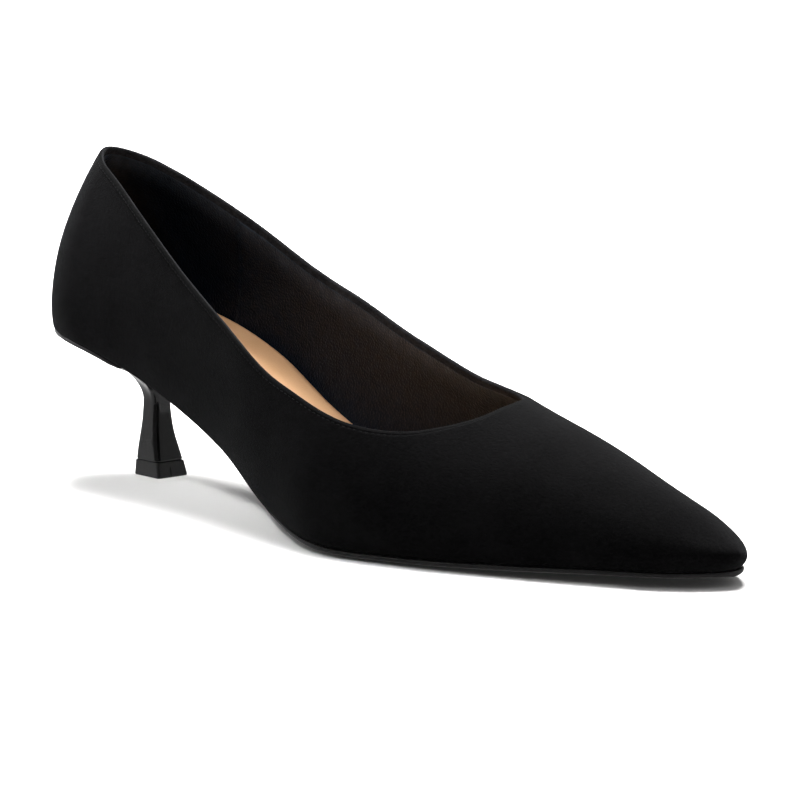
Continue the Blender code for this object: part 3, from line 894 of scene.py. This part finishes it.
def top_piece():
    """Walking tip: crisp edges, a small chamfer all round its flat face."""
    rings = []
    for z, side, mid_x, mid_y in TOP_PIECE:
        plan = square_ring(side, mid_x, mid_y, 0.8)
        rings.append(np.column_stack([plan, np.full(len(plan), z)]))
    return build("top_piece_black", [(np.array(rings), [0] * len(rings), False)], [TOP_BLACK], closed="capped")


tip = smooth(top_piece(), 35)
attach(tip, "root")
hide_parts("top_piece")


def tip_mark():
    """Moulding mark: a short upright dark line on the front face of the walking tip."""
    rings = []
    for z in (TIP_MARK["low"], TIP_MARK["high"]):
        side = np.interp(z, (0.35, 4.45), (11.4, 10.5)) / 2
        middle = np.interp(z, (0.35, 4.45), (36.7, 36.2))
        half = TIP_MARK["wide"] / 2
        rings.append([(middle + side + x, TIP_MARK["y"] + y, z) for x, y in ((-0.3, -half), (0.03, -half), (0.03, half), (-0.3, half))])
    return build("top_piece_mark", [(np.array(rings), [0] * 2, False)], [THREAD], closed="capped")


mark = tip_mark()
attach(mark, "root")

# --------------------------------------------------------- camera, floor, light
VIEW = {"azimuth": 47.3573, "elevation": 9.2123, "roll": 0.6787, "away": 1054.435, "focal": 3801.716, "cx": 366.586, "cy": 378.839}


def make_camera():
    a, e, r = (math.radians(VIEW[k]) for k in ("azimuth", "elevation", "roll"))
    back = np.array([math.sin(a) * math.cos(e), -math.cos(a) * math.cos(e), math.sin(e)])
    right = np.array([math.cos(a), math.sin(a), 0.0])
    up = np.cross(back, right)
    right, up = math.cos(r) * right + math.sin(r) * up, math.cos(r) * up - math.sin(r) * right
    place = world(np.array([126.0, 0.0, 40.0]) + back * VIEW["away"])
    data = bpy.data.cameras.new("camera")
    data.sensor_width = 36.0
    data.lens = VIEW["focal"] * 36.0 / 800
    data.shift_x = (400 - VIEW["cx"]) / 800
    data.shift_y = (VIEW["cy"] - 400) / 800
    data.clip_start, data.clip_end = 0.01, 100
    camera = bpy.data.objects.new("camera", data)
    turn = np.eye(4)
    turn[:3, 0], turn[:3, 1], turn[:3, 2], turn[:3, 3] = right, up, back, place
    camera.matrix_world = Matrix(turn.tolist())
    bpy.context.scene.collection.objects.link(camera)
    bpy.context.scene.camera = camera


make_camera()

shape = bmesh.new()
bmesh.ops.create_circle(shape, cap_ends=True, segments=96, radius=14)
floor_mesh = bpy.data.meshes.new("floor")
shape.to_mesh(floor_mesh)
shape.free()
floor = bpy.data.objects.new("floor", floor_mesh)
bpy.context.scene.collection.objects.link(floor)
paper = Nodes("pale_floor")
paper.shader.inputs["Base Color"].default_value = (0.90, 0.893, 0.885, 1)
paper.set(Roughness=1.0, Specular_IOR_Level=0.0)
distance = paper.add("ShaderNodeVectorMath", operation="LENGTH")
paper.link(paper.place, distance.inputs[0])
glow = paper.add("ShaderNodeMapRange", interpolation_type="SMOOTHSTEP")
for name, value in {"From Min": 0.5, "From Max": 2.2, "To Min": 0.0, "To Max": 1.2}.items():
    glow.inputs[name].default_value = value
paper.link(distance.outputs["Value"], glow.inputs["Value"])
paper.link(glow.outputs["Result"], paper.shader.inputs["Emission Strength"])
paper.shader.inputs["Emission Color"].default_value = (1, 1, 1, 1)
floor_mesh.materials.append(paper.material)


def area_light(name, place, target, size, power, colour=(1, 1, 1)):
    data = bpy.data.lights.new(name, "AREA")
    data.shape = "RECTANGLE"
    data.size, data.size_y = size
    data.energy = power
    data.color = colour
    obj = bpy.data.objects.new(name, data)
    bpy.context.scene.collection.objects.link(obj)
    back = unit(np.array(place, float) - np.array(target, float))
    right = unit(np.cross((0, 0, 1.0), back))
    up = np.cross(back, right)
    turn = np.eye(4)
    turn[:3, 0], turn[:3, 1], turn[:3, 2], turn[:3, 3] = right, up, back, place
    obj.matrix_world = Matrix(turn.tolist())
    obj.visible_camera = False
    return obj


# key: a soft box behind the shoe and above it, so its shadow falls to the front
area_light("key_back", (-0.42, 0.46, 1.25), (0.0, 0.0, 0.03), (0.75, 0.75), 80)
area_light("side_left", (-1.25, -0.75, 0.6), (0.0, 0.0, 0.04), (0.9, 0.7), 3)

# a narrow soft light from above, into the opening of the shoe
inside = bpy.data.lights.new("inside", "SPOT")
inside.energy = 62
inside.spot_size = math.radians(11)
inside.spot_blend = 0.8
inside.shadow_soft_size = 0.1
lamp = bpy.data.objects.new("inside", inside)
bpy.context.scene.collection.objects.link(lamp)
lamp.location = (-0.12, -0.75, 1.0)
lamp.rotation_euler = (lamp.location - Vector((-0.055, -0.01, 0.04))).to_track_quat("Z", "Y").to_euler()

# a dark card on the floor between the heel and the camera, seen only in gloss: painted shade that the heel mirrors in
# place of the shaded floor
shape = bmesh.new()
corners = [(-0.084, -0.010), (0.05, -0.46), (0.42, -0.52), (0.36, -0.30)]
shape.faces.new([shape.verts.new((x, y, 0.0002)) for x, y in corners])
card_mesh = bpy.data.meshes.new("painted_shade_card")
shape.to_mesh(card_mesh)
shape.free()
card = bpy.data.objects.new("painted_shade_card", card_mesh)
bpy.context.scene.collection.objects.link(card)
dark = Nodes("painted_shade_card")
dark.shader.inputs["Base Color"].default_value = (0.002, 0.002, 0.002, 1)
dark.set(Roughness=1.0, Specular_IOR_Level=0.0)
card_mesh.materials.append(dark.material)
card.visible_camera = card.visible_diffuse = card.visible_shadow = card.visible_transmission = False

# a wide grey card under it that glows, also seen only in gloss: a painted reflection, which the heel mirrors instead of
# the bright floor
shape = bmesh.new()
corners = [(-3.0, -3.0), (3.0, -3.0), (3.0, 3.0), (-3.0, 3.0)]
shape.faces.new([shape.verts.new((x, y, 0.0001)) for x, y in corners])
grey_mesh = bpy.data.meshes.new("painted_reflection_card")
shape.to_mesh(grey_mesh)
shape.free()
painted_reflection_card = bpy.data.objects.new("painted_reflection_card", grey_mesh)
bpy.context.scene.collection.objects.link(painted_reflection_card)
grey = Nodes("painted_reflection_card")
grey.shader.inputs["Base Color"].default_value = (0.002, 0.002, 0.002, 1)
grey.shader.inputs["Emission Color"].default_value = (1, 1, 1, 1)
grey.set(Roughness=1.0, Specular_IOR_Level=0.0, Emission_Strength=0.8)
grey_mesh.materials.append(grey.material)
painted_reflection_card.visible_camera = painted_reflection_card.visible_diffuse = painted_reflection_card.visible_shadow = painted_reflection_card.visible_transmission = False

scene_world = bpy.data.worlds.new("studio")
bpy.context.scene.world = scene_world
scene_world.use_nodes = True
tree = scene_world.node_tree
sky = tree.nodes["Background"]
sky.inputs["Strength"].default_value = 1.0
where = tree.nodes.new("ShaderNodeTexCoord")
dot = tree.nodes.new("ShaderNodeVectorMath")
dot.operation = "DOT_PRODUCT"
dot.inputs[1].default_value = (0.7355, -0.6775, 0.0)
tree.links.new(where.outputs["Generated"], dot.inputs[0])
dim = tree.nodes.new("ShaderNodeMapRange")
dim.interpolation_type = "SMOOTHSTEP"
dim.inputs["From Min"].default_value = -0.25
dim.inputs["From Max"].default_value = 0.6
dim.inputs["To Min"].default_value = 0.6
dim.inputs["To Max"].default_value = 0.15
tree.links.new(dot.outputs["Value"], dim.inputs["Value"])
tree.links.new(dim.outputs["Result"], sky.inputs["Color"])

view_settings = bpy.context.scene.view_settings
view_settings.view_transform = "Standard"
view_settings.look = "None"
view_settings.exposure = 0.0
view_settings.gamma = 1.0
